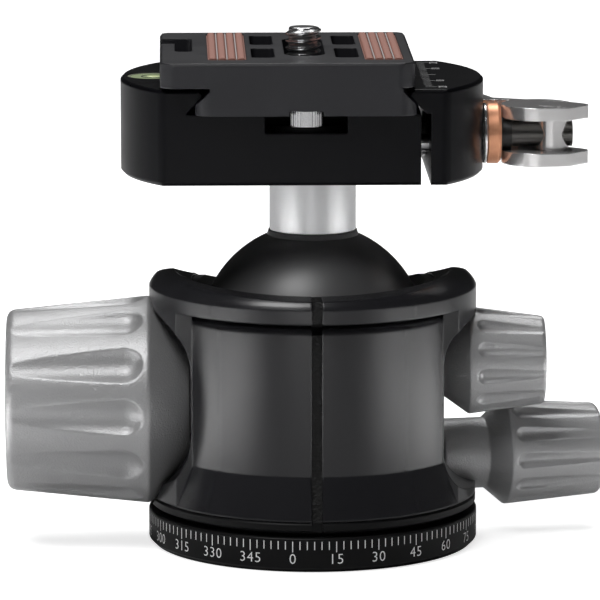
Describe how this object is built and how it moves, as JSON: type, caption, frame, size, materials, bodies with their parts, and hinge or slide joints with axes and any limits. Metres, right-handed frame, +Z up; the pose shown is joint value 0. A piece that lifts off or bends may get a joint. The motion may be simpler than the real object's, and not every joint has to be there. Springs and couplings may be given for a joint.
{
  "type": "tripod_ball_head",
  "caption": "Tripod ball head: graduated pan base, charcoal housing with a large fluted lock knob, ball and stem, and a lever-release dovetail clamp with a camera plate",
  "frame": {"origin": "centre of the base's underside, at the mouth of the tripod thread", "axes": "+Z up along the pan axis; front (slit and dial zero) towards -Y; main knob towards -X, clamp lever and small knobs towards +X"},
  "size_m": [0.106, 0.0624, 0.0913],
  "materials": {
    "black_anodised": "black satin anodised aluminium",
    "charcoal_anodised": "charcoal satin anodised aluminium",
    "plate_anodised": "dark grey satin anodised aluminium",
    "ball_coating": "dark hard-coated ball",
    "titanium_grey": "bead-blasted grey aluminium",
    "satin_aluminium": "satin turned aluminium",
    "steel": "plain turned steel",
    "dark_steel": "dark oiled steel",
    "polished_steel": "polished steel",
    "bronze": "bearing bronze",
    "copper": "bare copper",
    "white_plastic": "white low-friction plastic",
    "black_plastic": "black low-friction plastic",
    "black_rubber": "black grainy strip",
    "copper_rubber": "copper-brown ribbed rubber",
    "level_frame": "pale green moulded plastic",
    "level_fluid": "clear green level fluid"
  },
  "bodies": {
    "base": {"base_plate": "black_anodised", "thread_bushing": "steel", "base_screws": "steel", "spindle": "steel"},
    "housing": {"index_ring": "black_anodised", "housing": "charcoal_anodised", "bearing_ring": "bronze", "pan_washer": "white_plastic", "slit_strip": "black_rubber", "upper_ball_seat": "black_plastic", "lower_ball_seat": "white_plastic", "disc_spring": "steel", "main_bushing": "steel", "brake_shoe": "bronze", "friction_bushing": "steel", "friction_pad": "white_plastic", "pan_pad": "bronze"},
    "main_knob": {"main_screw": "steel", "main_knob": "titanium_grey", "main_knob_cap": "titanium_grey"},
    "friction_knob": {"friction_screw": "steel", "friction_knob": "titanium_grey"},
    "pan_knob": {"pan_screw": "steel", "pan_knob": "titanium_grey"},
    "ball": {"ball": "ball_coating"},
    "platform": {"stem": "satin_aluminium", "clamp_bolt": "dark_steel", "clamp_body": "black_anodised", "level_housing": "level_frame", "level_vial": "level_fluid", "guide_pins": "steel", "jaw_spring": "steel", "draw_rod": "dark_steel", "pivot_barrel": "polished_steel"},
    "jaw": {"clamp_jaw": "black_anodised", "steel_washer": "polished_steel", "copper_washer": "copper", "thrust_sleeve": "black_plastic"},
    "lever": {"lever": "polished_steel", "pivot_caps": "polished_steel"},
    "plate": {"camera_plate": "plate_anodised", "pad_left": "copper_rubber", "pad_right": "copper_rubber", "stop_pins": "polished_steel"},
    "camera_screw": {"camera_screw": "polished_steel"}
  },
  "joints": [
    {"name": "pan", "type": "hinge", "parent": "base", "child": "housing", "pos_m": [0, 0, 0.0071], "axis": [0, 0, 1], "continuous": true},
    {"name": "main_lock", "type": "hinge", "parent": "housing", "child": "main_knob", "pos_m": [-0.03, 0, 0.0252], "axis": [-1, 0, 0], "range_deg": [0, 300]},
    {"name": "friction_set", "type": "hinge", "parent": "housing", "child": "friction_knob", "pos_m": [0.03, 0, 0.0319], "axis": [1, 0, 0], "range_deg": [0, 300]},
    {"name": "pan_lock", "type": "hinge", "parent": "housing", "child": "pan_knob", "pos_m": [0.03939, 0.00695, 0.0142], "axis": [0.9848, 0.1736, 0], "range_deg": [0, 300]},
    {"name": "ball_tilt", "type": "hinge", "parent": "housing", "child": "ball", "pos_m": [0, 0, 0.0363], "axis": [1, 0, 0], "range_deg": [-90, 36]},
    {"name": "ball_spin", "type": "hinge", "parent": "ball", "child": "platform", "pos_m": [0, 0, 0.0363], "axis": [0, 0, 1], "continuous": true},
    {"name": "jaw_slide", "type": "slide", "parent": "platform", "child": "jaw", "axis": [1, 0, 0], "range_m": [0, 0.0012]},
    {"name": "lever_turn", "type": "hinge", "parent": "platform", "child": "lever", "pos_m": [0.042, 0, 0.07235], "axis": [0, 0, -1], "range_deg": [0, 105]},
    {"name": "plate_slide", "type": "slide", "parent": "platform", "child": "plate", "axis": [0, 1, 0], "range_m": [-0.006, 0.006]},
    {"name": "camera_screw_turn", "type": "hinge", "parent": "plate", "child": "camera_screw", "pos_m": [-0.00165, 0, 0.08755], "axis": [0, 0, 1], "continuous": true}
  ],
  "couplings": [
    {"joint": "jaw_slide", "follows": "lever_turn", "m_per_rad": 0.000654}
  ]
}
